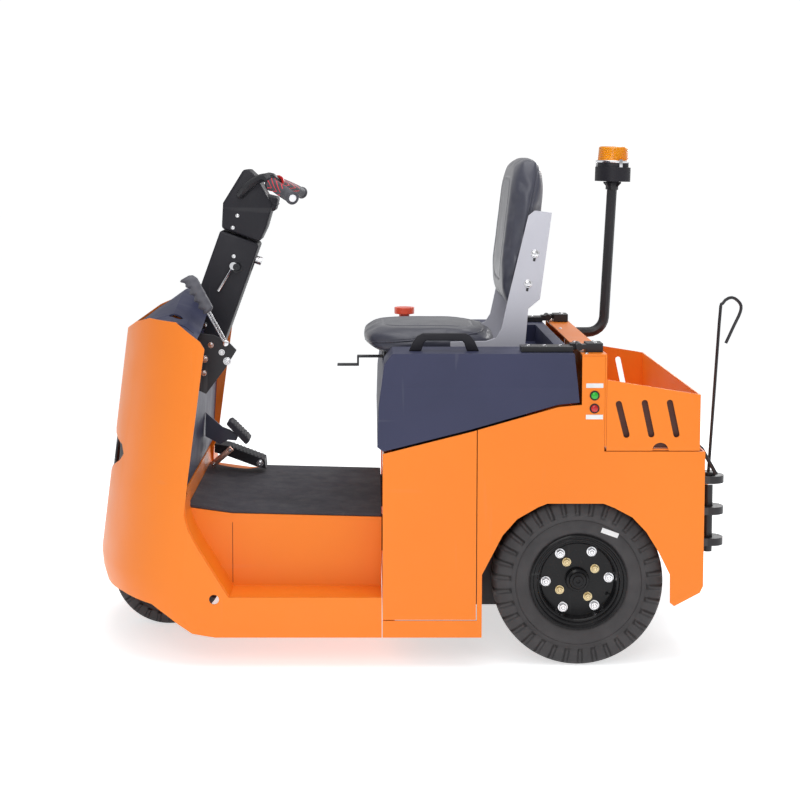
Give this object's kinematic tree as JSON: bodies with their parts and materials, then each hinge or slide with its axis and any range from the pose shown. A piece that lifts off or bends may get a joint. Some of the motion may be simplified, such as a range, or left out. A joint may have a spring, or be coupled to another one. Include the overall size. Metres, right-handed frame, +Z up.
{
  "type": "electric baggage tow tractor",
  "caption": "Seated electric tow tractor for airport baggage carts, with a steered front wheel under a rounded nose, handlebar steering, a tilting seat hood, a rear tray and a pin hitch.",
  "frame": {"origin": "on the ground, below the middle of the machine's length and width", "axes": "the nose faces -Y, the hitch +Y, the driver's left is +X and +Z is up"},
  "size_m": [0.806, 1.6812, 1.2635],
  "materials": {
    "orange_paint": "satin",
    "navy_cover": "satin",
    "navy_paint": "satin",
    "black_plastic": "fine grain",
    "black_steel": "satin",
    "frame_iron": "matt",
    "rim_paint": "semi-gloss",
    "tyre": "matt",
    "mat_rubber": "matt",
    "seat_cover": "satin",
    "bracket_silver": "satin",
    "bright_metal": "polished",
    "lamp_lens": "clear",
    "beacon_amber": "gloss",
    "stop_red": "gloss",
    "battery_case": "matt"
  },
  "bodies": {
    "chassis": {"accelerator_pedal": "black_plastic", "access_panel_left": "orange_paint", "access_panel_right": "orange_paint", "battery": "battery_case", "beacon_base": "black_plastic", "beacon_lens": "beacon_amber", "beacon_pole": "black_steel", "brake_pedal_arm": "navy_paint", "brake_pedal_pad": "mat_rubber", "column_cover": "black_plastic", "column_lever": "bright_metal", "dash_cover": "navy_cover", "deck": "orange_paint", "drive_axle": "frame_iron", "floor_mat": "mat_rubber", "footwell_tub": "orange_paint", "front_cowl": "orange_paint", "headlamp_left": "lamp_lens", "headlamp_right": "lamp_lens", "hinge_block_left": "black_steel", "hinge_block_right": "black_steel", "hitch": "black_steel", "hitch_stay": "black_steel", "inching_buttons": "black_plastic", "key_switch": "bright_metal", "lamp_panel": "black_plastic", "leg_shield": "navy_cover", "parking_brake_bracket": "black_steel", "parking_brake_lever": "black_plastic", "rear_body": "orange_paint", "tray": "orange_paint", "underframe": "frame_iron"},
    "fork": {"front_fork": "frame_iron"},
    "front_wheel": {"front_rim": "rim_paint", "front_tyre": "tyre"},
    "rear_wheel_left": {"rear_rim_left": "rim_paint", "rear_tyre_left": "tyre"},
    "rear_wheel_right": {"rear_rim_right": "rim_paint", "rear_tyre_right": "tyre"},
    "handlebar": {"column_head": "black_plastic", "handlebar_left": "black_steel", "handlebar_right": "black_steel", "grip_left": "mat_rubber", "grip_right": "mat_rubber"},
    "seat_hood": {"hood": "navy_cover", "hood_handle": "black_plastic", "emergency_stop": "stop_red", "hinge_arm_left": "black_steel", "hinge_arm_right": "black_steel", "seat_base": "black_steel", "seat_cushion": "seat_cover", "backrest": "seat_cover", "backrest_bracket": "bracket_silver"},
    "tow_pin": {"tow_pin": "black_steel"}
  },
  "joints": [
    {"name": "fork_steer", "type": "hinge", "parent": "chassis", "child": "fork", "pos_m": [0, -0.6695, 0.146], "axis": [0, 0, 1], "range_deg": [-60, 60]},
    {"name": "front_wheel_spin", "type": "hinge", "parent": "fork", "child": "front_wheel", "pos_m": [0, -0.6695, 0.146], "axis": [1, 0, 0], "continuous": true},
    {"name": "rear_left_spin", "type": "hinge", "parent": "chassis", "child": "rear_wheel_left", "pos_m": [0.3255, 0.3675, 0.2075], "axis": [1, 0, 0], "continuous": true},
    {"name": "rear_right_spin", "type": "hinge", "parent": "chassis", "child": "rear_wheel_right", "pos_m": [-0.3255, 0.3675, 0.2075], "axis": [1, 0, 0], "continuous": true},
    {"name": "handlebar_turn", "type": "hinge", "parent": "chassis", "child": "handlebar", "pos_m": [0, -0.474, 1.0275], "axis": [0, 0.342, 0.9397], "range_deg": [-60, 60]},
    {"name": "hood_hinge", "type": "hinge", "parent": "chassis", "child": "seat_hood", "pos_m": [0, 0.3655, 0.78], "axis": [-1, 0, 0], "range_deg": [0, 60]},
    {"name": "tow_pin_lift", "type": "slide", "parent": "chassis", "child": "tow_pin", "axis": [0, 0, 1], "range_m": [0, 0.17]}
  ],
  "couplings": [
    {"joint": "handlebar_turn", "follows": "fork_steer", "ratio": 1}
  ]
}
